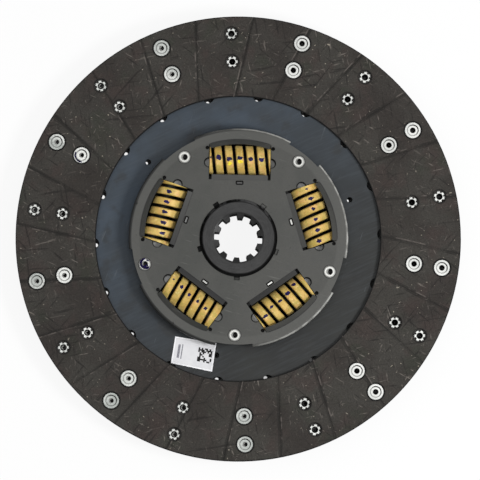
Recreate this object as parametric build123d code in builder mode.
"""A sprung clutch disc for a heavy vehicle, 350 mm across, with a ten-groove splined hub.

The disc lies flat: +Z points out of the side that shows the retainer plate, and Z = 0 is the
middle of the thin carrier plate, on the hub's axis. Angles named clock are counted clockwise
from +Y, seen from the front. All lengths are in millimetres and all angles in degrees.
"""
from build123d import *
import math
import os

os.makedirs("parts", exist_ok=True)

# Friction facings
disc_radius = 175.0
facing_bore_radius = 112.0
facing_thickness = 3.7
groove_count = 24
groove_width = 1.2
groove_depth = 0.4
groove_clock = 1.93
groove_skew = -11.0

# Facing rivets, nine pairs put in from each side
rivets_per_row = 9
front_rivet_clock = 18.1
rear_rivet_clock = 38.1
outer_row_share = 0.789
inner_row_share = 0.438
rivet_shank_radius = 2.45
rivet_bore_radius = 2.0
rivet_waist_radius = 0.9
rivet_head_radius = 6.15
rivet_head_thickness = 1.1
rivet_step_radius = 4.2
rivet_step_depth = 0.5
rivet_seat_thickness = 1.5
rivet_tail_radius = 4.8
rivet_tail_height = 1.15
rivet_crown_radius = 4.1
rivet_mouth_radius = 2.3
rivet_petals = 6
petal_notch_radius = 1.3

# Carrier plate with its cushion paddles
carrier_thickness = 1.6
paddle_offset = 0.5
paddle_count = 18
paddle_tip_inset = 1.5
paddle_bend_length = 6.5
slot_width = 4.0
slot_clock = 8.1
slot_end_radius = 4.5
slot_end_setback = 1.8
tooling_hole_count = 3
tooling_hole_radius = 2.2
tooling_hole_gap = 6.8
tooling_hole_clock = 70.6

# Side plates that hold the springs
side_plate_radius = 86.2
drive_plate_thickness = 3.5
retainer_thickness = 3.0
rim_width = 2.5
rim_drop = 6.0
rim_bevel = 2.0
rim_gap_angle = 19.6
rim_dent_clocks = (217.6, 288.8)
rim_dent_inset = 1.9
rim_dent_radius = 0.9
rim_dent_depth = 1.5
lip_width = 3.85
lip_overlap = 0.95
inner_lip_length = 44.0
relief_hole_radius = 1.5
relief_hole_gap = 0.9
end_notch_radius = 4.0
end_notch_inset = 2.6

# Damper springs
spring_count = 5
spring_clock = 1.2
spring_inset = 24.6
spring_radius = 13.0
spring_length = 47.6
spring_pitch = 8.35
wire_width = 6.0
wire_depth = 5.0
wire_chamfer = 0.8
spring_phases = (-35.0, 120.0, 10.0, 115.0, -30.0)

# Stop pins that join the side plates
pin_clock = 38.3
pin_inset = 9.9
pin_shoulder_radius = 5.0
pin_shank_radius = 3.6
pin_head_radius = 4.7
pin_head_height = 1.5
pin_head_chamfer = 0.8
pin_dimple_radius = 2.6
pin_dimple_depth = 2.0
pin_dimple_floor_radius = 0.6

# Hub
hub_radius = 28.5
hub_front_length = 4.0
hub_rear_length = 15.2
hub_chamfer = 0.6
flange_inset = 3.2
flange_thickness = 7.0
flange_root_fillet = 1.2
damper_travel = 6.0
notch_corner_radius = 2.5
spline_count = 10
spline_clock = 95.2
spline_major_radius = 19.05
spline_minor_radius = 15.43
spline_groove_width = 6.0
spline_chamfer_width = 1.15
spline_chamfer_depth = 2.2

# Friction pack and bushes round the hub
ring_collar_gap = 0.7
ring_spring_gap = 2.6
rear_ring_thickness = 1.5
front_ring_thickness = 1.5
thrust_washer_share = 0.846
thrust_washer_thickness = 1.2
thrust_tab_width = 4.0
spring_washer_share = 0.677
spring_washer_thickness = 0.8
spring_washer_height = 1.5
bush_wall = 2.1
bush_recess = 1.4
bush_collar_width = 1.7
bush_collar_thickness = 1.3
bush_lug_width = 4.0
bush_lug_reach = 2.2

# Clearances
shaft_clearance = 0.08
fixed_clearance = 0.05
seat_clearance = 0.3
spring_side_clearance = 0.4
lip_clearance = 0.5
stop_clearance = 0.4
rivet_head_clearance = 0.35
rivet_tail_clearance = 0.6
tab_clearance = 1.1
window_side_clearance = 0.2

# How far a cut runs past the surface that it opens, and a bent edge into its plate
cut_overrun = 1.0
root_overlap = 0.5
edge_reach = 0.1


def from_clock(clock):
    """An angle counted clockwise from +Y, as one counted anticlockwise from +X."""
    return 90.0 - clock


def facing_up(side, height):
    """A plane that looks out of the front (side 1) or the rear (side -1) at a height from Z = 0."""
    return Plane(origin=(0, 0, side * height), x_dir=(1, 0, 0), z_dir=(0, 0, side))


# Heights along the axis, worked out from the thicknesses
carrier_front = carrier_thickness / 2
drive_plate_front = -carrier_front
drive_plate_rear = drive_plate_front - drive_plate_thickness
flange_rear = carrier_front + rear_ring_thickness
flange_front = flange_rear + flange_thickness
thrust_washer_rear = flange_front + front_ring_thickness
spring_washer_rear = thrust_washer_rear + thrust_washer_thickness
retainer_rear = spring_washer_rear + spring_washer_height
retainer_front = retainer_rear + retainer_thickness
hub_front = retainer_front + hub_front_length
hub_rear = drive_plate_rear - hub_rear_length
spring_height = (flange_rear + flange_front) / 2

# Places round the axis
facing_seat = carrier_front + paddle_offset
facing_face = facing_seat + facing_thickness
facing_width = disc_radius - facing_bore_radius
outer_row = facing_bore_radius + outer_row_share * facing_width
inner_row = facing_bore_radius + inner_row_share * facing_width
tooling_hole_circle = side_plate_radius + tooling_hole_gap
pin_circle = side_plate_radius - pin_inset
flange_radius = side_plate_radius - flange_inset
spring_circle = side_plate_radius - spring_inset
spring_pitch_angle = 360 / spring_count
plate_bore_radius = hub_radius + bush_wall
bush_collar_radius = plate_bore_radius + bush_collar_width
ring_bore_radius = bush_collar_radius + ring_collar_gap
ring_outer_radius = spring_circle - spring_radius - ring_spring_gap
ring_width = ring_outer_radius - ring_bore_radius
thrust_washer_radius = ring_bore_radius + thrust_washer_share * ring_width
spring_washer_radius = ring_bore_radius + spring_washer_share * ring_width

# The window that the side plates leave over each spring
window_half_length = spring_length / 2 + seat_clearance + window_side_clearance
window_outer = spring_circle + spring_radius - lip_overlap
window_inner = spring_circle - spring_radius + lip_overlap
lip_root_outer = window_outer + lip_width
lip_root_inner = window_inner - lip_width
window_corner = math.sqrt(window_outer**2 - window_half_length**2)
lip_half_angle = math.degrees(math.asin(window_half_length / lip_root_outer))

# The straight-sided window that the hub flange and the carrier leave for the whole spring
pocket_half_length = spring_length / 2 + seat_clearance
pocket_half_width = spring_radius + spring_side_clearance


def lip_rise(inner_face_distance):
    """How far a lip stands off its plate, so that its corners clear the coil."""
    corner_offset = window_corner - spring_circle
    return math.sqrt((spring_radius + lip_clearance) ** 2 - corner_offset**2) - inner_face_distance


# Outline of the opening that is cut before the lips go in
opening_corner = math.sqrt(lip_root_outer**2 - window_half_length**2)
with BuildSketch() as window_opening:
    with BuildLine():
        Polyline(
            (opening_corner, -window_half_length),
            (lip_root_inner, -window_half_length),
            (lip_root_inner, window_half_length),
            (opening_corner, window_half_length),
        )
        ThreePointArc(
            (opening_corner, window_half_length),
            (lip_root_outer, 0),
            (opening_corner, -window_half_length),
        )
    make_face()


def window_lips(side, inner_face, outer_face):
    """The two lips of one window on the +X side, bent out of a side plate."""
    rise = side * lip_rise(abs(spring_height - inner_face))
    with BuildPart() as lips:
        with BuildSketch(Plane.XZ.rotated((0, 0, -lip_half_angle))):
            with BuildLine():
                Polyline(
                    (lip_root_outer + root_overlap, inner_face),
                    (lip_root_outer, inner_face),
                    (window_outer, inner_face + rise),
                    (window_outer, outer_face + rise),
                    (lip_root_outer, outer_face),
                    (lip_root_outer + root_overlap, outer_face),
                    close=True,
                )
            make_face()
        revolve(axis=Axis.Z, revolution_arc=2 * lip_half_angle)
        with BuildSketch(Plane.XZ.offset(-inner_lip_length / 2)):
            with BuildLine():
                Polyline(
                    (lip_root_inner - root_overlap, inner_face),
                    (lip_root_inner, inner_face),
                    (window_inner, inner_face + rise),
                    (window_inner, outer_face + rise),
                    (lip_root_inner, outer_face),
                    (lip_root_inner - root_overlap, outer_face),
                    close=True,
                )
            make_face()
        extrude(amount=inner_lip_length)
    return lips.part


def cut_plate_windows(rear_face, thickness, lips):
    """Cuts the five windows through the plate being built and adds their lips."""
    first_window = from_clock(spring_clock)
    with BuildSketch(Plane.XY.offset(rear_face)) as openings:
        with PolarLocations(0, spring_count, start_angle=first_window):
            add(window_opening.sketch)
    extrude(openings.sketch, amount=thickness, mode=Mode.SUBTRACT)
    with PolarLocations(0, spring_count, start_angle=first_window):
        add(lips)
    relief_reach = relief_hole_radius + relief_hole_gap
    relief_circle = lip_root_outer - relief_reach
    relief_angle = lip_half_angle + math.degrees(relief_reach / relief_circle)
    with BuildSketch(Plane.XY.offset(rear_face - thickness)) as reliefs:
        for way in (-1, 1):
            with PolarLocations(relief_circle, spring_count, start_angle=first_window + way * relief_angle):
                Circle(relief_hole_radius)
            with PolarLocations(0, spring_count, start_angle=first_window):
                with Locations((spring_circle - end_notch_inset, way * window_half_length)):
                    Circle(end_notch_radius)
    extrude(reliefs.sketch, amount=3 * thickness, mode=Mode.SUBTRACT)


# Facings: a pressed friction ring on each side, with slanted dust grooves
for side, facing_name, head_clock, tail_clock in (
    (1, "front_facing", front_rivet_clock, rear_rivet_clock),
    (-1, "rear_facing", rear_rivet_clock, front_rivet_clock),
):
    with BuildPart() as facing:
        with BuildSketch(facing_up(side, facing_seat)):
            Circle(disc_radius)
            Circle(facing_bore_radius, mode=Mode.SUBTRACT)
        extrude(amount=facing_thickness)
        with BuildSketch(facing_up(side, facing_face)):
            middle = facing_bore_radius + facing_width / 2
            with PolarLocations(middle, groove_count, start_angle=from_clock(groove_clock)):
                Rectangle(2 * facing_width, groove_width, rotation=groove_skew)
            Circle(facing_bore_radius - cut_overrun, mode=Mode.SUBTRACT)
        extrude(amount=-groove_depth, mode=Mode.SUBTRACT)
        with Locations(facing_up(side, facing_face)):
            for row in (outer_row, inner_row):
                with PolarLocations(row, rivets_per_row, start_angle=side * from_clock(head_clock)):
                    CounterBoreHole(
                        rivet_shank_radius + fixed_clearance,
                        rivet_head_radius + rivet_head_clearance,
                        facing_thickness - rivet_seat_thickness,
                        facing_thickness + cut_overrun,
                    )
                with PolarLocations(row, rivets_per_row, start_angle=side * from_clock(tail_clock)):
                    Hole(rivet_tail_radius + rivet_tail_clearance, facing_thickness + cut_overrun)
    facing.part.label = facing_name
    export_step(facing.part, "parts/" + facing_name + ".step")


# Facing rivets: hollow, narrowest at the waist, with a stepped head and a tail rolled out into
# six petals
grip = carrier_thickness + rivet_seat_thickness
with BuildPart() as rivet:
    with BuildSketch(Plane.XZ):
        with BuildLine():
            Polyline(
                (rivet_bore_radius, grip + rivet_head_thickness - rivet_step_depth),
                (rivet_step_radius, grip + rivet_head_thickness - rivet_step_depth),
                (rivet_step_radius, grip + rivet_head_thickness),
                (rivet_head_radius, grip + rivet_head_thickness),
                (rivet_head_radius, grip),
                (rivet_shank_radius, grip),
                (rivet_shank_radius, 0),
                (rivet_tail_radius, 0),
                (rivet_tail_radius, -rivet_tail_height / 3),
                (rivet_crown_radius, -rivet_tail_height),
                (rivet_mouth_radius, -rivet_tail_height),
                (rivet_bore_radius, -rivet_tail_height / 3),
                (rivet_waist_radius, grip / 2),
                close=True,
            )
        make_face()
    revolve(axis=Axis.Z)
    with BuildSketch(Plane.XY):
        with PolarLocations(rivet_tail_radius, rivet_petals):
            Circle(petal_notch_radius)
    extrude(amount=-rivet_tail_height, mode=Mode.SUBTRACT)

for side, rivets_name, head_clock in (
    (1, "front_facing_rivets", front_rivet_clock),
    (-1, "rear_facing_rivets", rear_rivet_clock),
):
    with BuildPart() as facing_rivets:
        with Locations(facing_up(side, paddle_offset - carrier_front)):
            for row in (outer_row, inner_row):
                with PolarLocations(row, rivets_per_row, start_angle=side * from_clock(head_clock)):
                    add(rivet.part)
    facing_rivets.part.label = rivets_name
    export_step(facing_rivets.part, "parts/" + rivets_name + ".step")


# Carrier plate: one spring-steel disc whose outer part is slotted into 18 paddles, set
# alternately forwards and backwards, so that the facings cushion the clutch as it closes
slot_circle = facing_bore_radius + slot_end_setback
paddle_tip = disc_radius - paddle_tip_inset
bend_start = facing_bore_radius + slot_end_radius
bend_end = bend_start + paddle_bend_length
paddle_angle = 360 / paddle_count


def paddle_sector(side):
    """A sector of the disc, from inside the slots' ends to the paddle's tip."""
    set_off = side * paddle_offset
    with BuildPart() as sector:
        with BuildSketch(Plane.XZ.rotated((0, 0, -paddle_angle / 2))):
            with BuildLine():
                Polyline(
                    (slot_circle, -carrier_front),
                    (bend_start, -carrier_front),
                    (bend_end, set_off - carrier_front),
                    (paddle_tip, set_off - carrier_front),
                    (paddle_tip, set_off + carrier_front),
                    (bend_end, set_off + carrier_front),
                    (bend_start, carrier_front),
                    (slot_circle, carrier_front),
                    close=True,
                )
            make_face()
        revolve(axis=Axis.Z, revolution_arc=paddle_angle)
    return sector.part


front_sector = paddle_sector(1)
rear_sector = paddle_sector(-1)
with BuildPart() as carrier_plate:
    with BuildSketch(Plane.XY.offset(-carrier_front)):
        Circle(slot_circle)
    extrude(amount=carrier_thickness)
    with PolarLocations(0, rivets_per_row, start_angle=from_clock(front_rivet_clock)):
        add(front_sector)
    with PolarLocations(0, rivets_per_row, start_angle=from_clock(rear_rivet_clock)):
        add(rear_sector)
    with BuildSketch(Plane.XY.offset(-carrier_thickness)):
        slot_length = disc_radius - slot_circle
        with PolarLocations(slot_circle + slot_length / 2, paddle_count, start_angle=from_clock(slot_clock)):
            Rectangle(slot_length, slot_width)
        with PolarLocations(slot_circle, paddle_count, start_angle=from_clock(slot_clock)):
            Circle(slot_end_radius)
        for row in (outer_row, inner_row):
            for clock in (front_rivet_clock, rear_rivet_clock):
                with PolarLocations(row, rivets_per_row, start_angle=from_clock(clock)):
                    Circle(rivet_shank_radius + fixed_clearance)
        with PolarLocations(tooling_hole_circle, tooling_hole_count, start_angle=from_clock(tooling_hole_clock)):
            Circle(tooling_hole_radius)
        with PolarLocations(pin_circle, spring_count, start_angle=from_clock(pin_clock)):
            Circle(pin_shank_radius + fixed_clearance)
        with PolarLocations(spring_circle, spring_count, start_angle=from_clock(spring_clock)):
            Rectangle(2 * pocket_half_width, 2 * window_half_length)
        Circle(plate_bore_radius)
    extrude(amount=2 * carrier_thickness, mode=Mode.SUBTRACT)
carrier_plate.part.label = "carrier_plate"
export_step(carrier_plate.part, "parts/carrier_plate.step")


# Drive plate: the rear side plate, riveted to the carrier by the stop pins
drive_plate_lips = window_lips(-1, drive_plate_front, drive_plate_rear)
with BuildPart() as drive_plate:
    with BuildSketch(Plane.XY.offset(drive_plate_rear)):
        Circle(side_plate_radius)
        with PolarLocations(pin_circle, spring_count, start_angle=from_clock(pin_clock)):
            Circle(pin_shank_radius + fixed_clearance, mode=Mode.SUBTRACT)
        Circle(plate_bore_radius, mode=Mode.SUBTRACT)
    extrude(amount=drive_plate_thickness)
    cut_plate_windows(drive_plate_rear, drive_plate_thickness, drive_plate_lips)
drive_plate.part.label = "drive_plate"
export_step(drive_plate.part, "parts/drive_plate.step")


# Retainer plate: the front side plate, with its rim turned down between the stop pins
retainer_lips = window_lips(1, retainer_rear, retainer_front)
rim_bore = side_plate_radius - rim_width
rim_angle = spring_pitch_angle - rim_gap_angle
with BuildPart() as turned_rim:
    with BuildSketch(Plane.XZ):
        with BuildLine():
            Polyline(
                (rim_bore - root_overlap, retainer_rear),
                (rim_bore, retainer_rear),
                (rim_bore, retainer_front - rim_drop),
                (side_plate_radius, retainer_front - rim_drop),
                (side_plate_radius, retainer_front - rim_bevel),
            )
            ThreePointArc(
                (side_plate_radius, retainer_front - rim_bevel),
                (
                    side_plate_radius - rim_bevel * (1 - math.sin(math.radians(45))),
                    retainer_front - rim_bevel * (1 - math.cos(math.radians(45))),
                ),
                (side_plate_radius - rim_bevel, retainer_front),
            )
            Polyline(
                (side_plate_radius - rim_bevel, retainer_front),
                (rim_bore - root_overlap, retainer_front),
                (rim_bore - root_overlap, retainer_rear),
            )
        make_face()
    revolve(axis=Axis.Z, revolution_arc=rim_angle)

thrust_tab_circle = thrust_washer_radius - thrust_washer_thickness / 2
with BuildPart() as retainer_plate:
    with BuildSketch(Plane.XY.offset(retainer_rear)):
        Circle(rim_bore)
        with PolarLocations(pin_circle, spring_count, start_angle=from_clock(pin_clock)):
            Circle(pin_shank_radius + fixed_clearance, mode=Mode.SUBTRACT)
        with PolarLocations(thrust_tab_circle, spring_count, start_angle=from_clock(spring_clock)):
            RectangleRounded(
                thrust_washer_thickness + 2 * tab_clearance,
                thrust_tab_width + 2 * tab_clearance,
                tab_clearance,
                mode=Mode.SUBTRACT,
            )
        Circle(plate_bore_radius, mode=Mode.SUBTRACT)
        with PolarLocations(plate_bore_radius, spring_count, start_angle=from_clock(pin_clock)):
            Rectangle(
                2 * (bush_lug_reach + seat_clearance),
                bush_lug_width + 2 * seat_clearance,
                mode=Mode.SUBTRACT,
            )
    extrude(amount=retainer_thickness)
    with PolarLocations(0, spring_count, start_angle=from_clock(pin_clock) + rim_gap_angle / 2):
        add(turned_rim.part)
    cut_plate_windows(retainer_rear, retainer_thickness, retainer_lips)
    with BuildSketch(facing_up(1, retainer_front)):
        for clock in rim_dent_clocks:
            with PolarLocations(side_plate_radius - rim_dent_inset, 1, start_angle=from_clock(clock)):
                Circle(rim_dent_radius)
    extrude(amount=-rim_dent_depth, mode=Mode.SUBTRACT)
retainer_plate.part.label = "retainer_plate"
export_step(retainer_plate.part, "parts/retainer_plate.step")


# Hub: splined barrel and flange in one forging, with pockets for the springs and notches
# that give the stop pins their travel
travel = math.radians(damper_travel)
notch_floor = pin_circle * math.cos(travel) - pin_shoulder_radius - stop_clearance
notch_half_width = pin_circle * math.sin(travel) + pin_shoulder_radius + stop_clearance
notch_depth = flange_radius - notch_floor + cut_overrun
with BuildPart() as hub:
    with BuildSketch(Plane.XY.offset(hub_rear)):
        Circle(hub_radius)
    extrude(amount=hub_front - hub_rear)
    chamfer(hub.edges().filter_by(GeomType.CIRCLE), hub_chamfer)
    with BuildSketch(Plane.XY.offset(flange_rear)):
        Circle(flange_radius)
    extrude(amount=flange_thickness)
    flange_roots = hub.edges().filter_by(GeomType.CIRCLE).filter_by_position(
        Axis.Z, flange_rear - edge_reach, flange_front + edge_reach
    )
    fillet(flange_roots.filter_by(lambda edge: edge.radius < hub_radius + edge_reach), flange_root_fillet)
    with BuildSketch(Plane.XY.offset(flange_rear)):
        with PolarLocations(spring_circle, spring_count, start_angle=from_clock(spring_clock)):
            Rectangle(2 * pocket_half_width, 2 * pocket_half_length)
        with PolarLocations(notch_floor + notch_depth / 2, spring_count, start_angle=from_clock(pin_clock)):
            RectangleRounded(notch_depth, 2 * notch_half_width, notch_corner_radius)
    extrude(amount=flange_thickness, mode=Mode.SUBTRACT)
    with BuildSketch(Plane.XY.offset(hub_rear)):
        with PolarLocations(spline_major_radius / 2, spline_count, start_angle=from_clock(spline_clock)):
            Rectangle(spline_major_radius + cut_overrun, spline_groove_width)
        Circle(spline_major_radius, mode=Mode.INTERSECT)
        Circle(spline_minor_radius)
    extrude(amount=hub_front - hub_rear, mode=Mode.SUBTRACT)
    for side, end in ((1, hub_front), (-1, -hub_rear)):
        with BuildSketch(facing_up(side, end)):
            Circle(spline_major_radius + spline_chamfer_width)
        with BuildSketch(facing_up(side, end - spline_chamfer_depth)):
            Circle(spline_minor_radius)
        loft(mode=Mode.SUBTRACT)
hub.part.label = "hub"
export_step(hub.part, "parts/hub.step")


# Damper springs: flat-faced wire, right-hand wound, with ground ends
coil_radius = spring_radius - wire_depth / 2
coil_height = spring_length + 2 * spring_pitch
with BuildPart() as coil:
    with BuildLine() as coil_path:
        Helix(spring_pitch, coil_height, coil_radius, center=(0, 0, -coil_height / 2))
    start_plane = Plane(
        origin=coil_path.line @ 0,
        x_dir=(1, 0, 0),
        z_dir=coil_path.line % 0,
    )
    with BuildSketch(start_plane) as wire:
        Rectangle(wire_depth, wire_width)
        chamfer(wire.vertices(), wire_chamfer)
    sweep(path=coil_path.line, is_frenet=True)
    split(bisect_by=Plane.XY.offset(spring_length / 2), keep=Keep.BOTTOM)
    split(bisect_by=Plane.XY.offset(-spring_length / 2), keep=Keep.TOP)

for number, phase in enumerate(spring_phases):
    angle = math.radians(from_clock(spring_clock + number * spring_pitch_angle))
    outward = Vector(math.cos(angle), math.sin(angle), 0)
    along = Vector(-math.sin(angle), math.cos(angle), 0)
    seat = Plane(
        origin=outward * spring_circle + Vector(0, 0, spring_height),
        x_dir=outward.rotate(Axis((0, 0, 0), along), phase),
        z_dir=along,
    )
    with BuildPart() as damper_spring:
        with Locations(seat):
            add(coil.part)
    damper_spring.part.label = "damper_spring_" + str(number + 1)
    export_step(damper_spring.part, "parts/damper_spring_" + str(number + 1) + ".step")


# Stop pins: shouldered spacers, with both ends headed over the side plates
with BuildPart() as pin_blank:
    with BuildSketch(Plane.XZ):
        with BuildLine():
            Polyline(
                (0, drive_plate_rear - pin_head_height),
                (pin_head_radius - pin_head_chamfer, drive_plate_rear - pin_head_height),
                (pin_head_radius, drive_plate_rear - pin_head_height + pin_head_chamfer),
                (pin_head_radius, drive_plate_rear),
                (pin_shank_radius, drive_plate_rear),
                (pin_shank_radius, carrier_front),
                (pin_shoulder_radius, carrier_front),
                (pin_shoulder_radius, retainer_rear),
                (pin_shank_radius, retainer_rear),
                (pin_shank_radius, retainer_front),
                (pin_head_radius, retainer_front),
                (pin_head_radius, retainer_front + pin_head_height - pin_head_chamfer),
                (pin_head_radius - pin_head_chamfer, retainer_front + pin_head_height),
                (pin_dimple_radius, retainer_front + pin_head_height),
                (pin_dimple_floor_radius, retainer_front + pin_head_height - pin_dimple_depth),
                (0, retainer_front + pin_head_height - pin_dimple_depth),
                close=True,
            )
        make_face()
    revolve(axis=Axis.Z)

for number in range(spring_count):
    clock = pin_clock + number * spring_pitch_angle
    with BuildPart() as stop_pin:
        with PolarLocations(pin_circle, 1, start_angle=from_clock(clock)):
            add(pin_blank.part)
    stop_pin.part.label = "stop_pin_" + str(number + 1)
    export_step(stop_pin.part, "parts/stop_pin_" + str(number + 1) + ".step")


# Friction pack: a ring each side of the hub flange, a tabbed thrust washer and a coned spring
with BuildPart() as rear_friction_ring:
    with BuildSketch(Plane.XY.offset(carrier_front)):
        Circle(ring_outer_radius)
        Circle(ring_bore_radius, mode=Mode.SUBTRACT)
    extrude(amount=rear_ring_thickness)
rear_friction_ring.part.label = "rear_friction_ring"
export_step(rear_friction_ring.part, "parts/rear_friction_ring.step")

with BuildPart() as front_friction_ring:
    with BuildSketch(Plane.XY.offset(flange_front)):
        Circle(ring_outer_radius)
        Circle(ring_bore_radius, mode=Mode.SUBTRACT)
    extrude(amount=front_ring_thickness)
front_friction_ring.part.label = "front_friction_ring"
export_step(front_friction_ring.part, "parts/front_friction_ring.step")

with BuildPart() as thrust_washer:
    with BuildSketch(Plane.XY.offset(thrust_washer_rear)):
        Circle(thrust_washer_radius)
        Circle(ring_bore_radius, mode=Mode.SUBTRACT)
    extrude(amount=thrust_washer_thickness)
    with BuildSketch(Plane.XY.offset(thrust_washer_rear)):
        with PolarLocations(0, spring_count, start_angle=from_clock(spring_clock)):
            with Locations((thrust_tab_circle, 0)):
                Rectangle(thrust_washer_thickness, thrust_tab_width)
    extrude(amount=retainer_front - seat_clearance - thrust_washer_rear)
thrust_washer.part.label = "thrust_washer"
export_step(thrust_washer.part, "parts/thrust_washer.step")

with BuildPart() as spring_washer:
    with BuildSketch(Plane.XZ):
        with BuildLine():
            Polyline(
                (ring_bore_radius, retainer_rear - spring_washer_thickness),
                (spring_washer_radius, spring_washer_rear),
                (spring_washer_radius, spring_washer_rear + spring_washer_thickness),
                (ring_bore_radius, retainer_rear),
                close=True,
            )
        make_face()
    revolve(axis=Axis.Z)
spring_washer.part.label = "spring_washer"
export_step(spring_washer.part, "parts/spring_washer.step")


# Bushes that centre the hub in the side plates
bush_bore = hub_radius + shaft_clearance
bush_body = plate_bore_radius - fixed_clearance
bush_front = retainer_front - bush_recess
bush_start = flange_front + flange_root_fillet + seat_clearance
with BuildPart() as front_bush:
    with BuildSketch(Plane.XY.offset(bush_start)):
        Circle(bush_body)
    extrude(amount=bush_front - bush_start)
    with BuildSketch(Plane.XY.offset(retainer_rear - bush_collar_thickness)):
        Circle(bush_collar_radius)
    extrude(amount=bush_collar_thickness)
    with BuildSketch(Plane.XY.offset(retainer_rear)):
        with PolarLocations(plate_bore_radius, spring_count, start_angle=from_clock(pin_clock)):
            Rectangle(2 * bush_lug_reach, bush_lug_width)
    extrude(amount=bush_front - retainer_rear)
    with BuildSketch(Plane.XY.offset(bush_start)):
        Circle(bush_bore)
    extrude(amount=bush_front - bush_start, mode=Mode.SUBTRACT)
front_bush.part.label = "front_bush"
export_step(front_bush.part, "parts/front_bush.step")

with BuildPart() as rear_bush:
    with BuildSketch(Plane.XY.offset(drive_plate_rear - bush_collar_thickness)):
        Circle(bush_collar_radius)
    extrude(amount=bush_collar_thickness)
    with BuildSketch(Plane.XY.offset(drive_plate_rear)):
        Circle(bush_body)
    extrude(amount=carrier_front - drive_plate_rear)
    with BuildSketch(Plane.XY.offset(drive_plate_rear - bush_collar_thickness)):
        Circle(bush_bore)
    extrude(amount=carrier_front - drive_plate_rear + bush_collar_thickness, mode=Mode.SUBTRACT)
rear_bush.part.label = "rear_bush"
export_step(rear_bush.part, "parts/rear_bush.step")
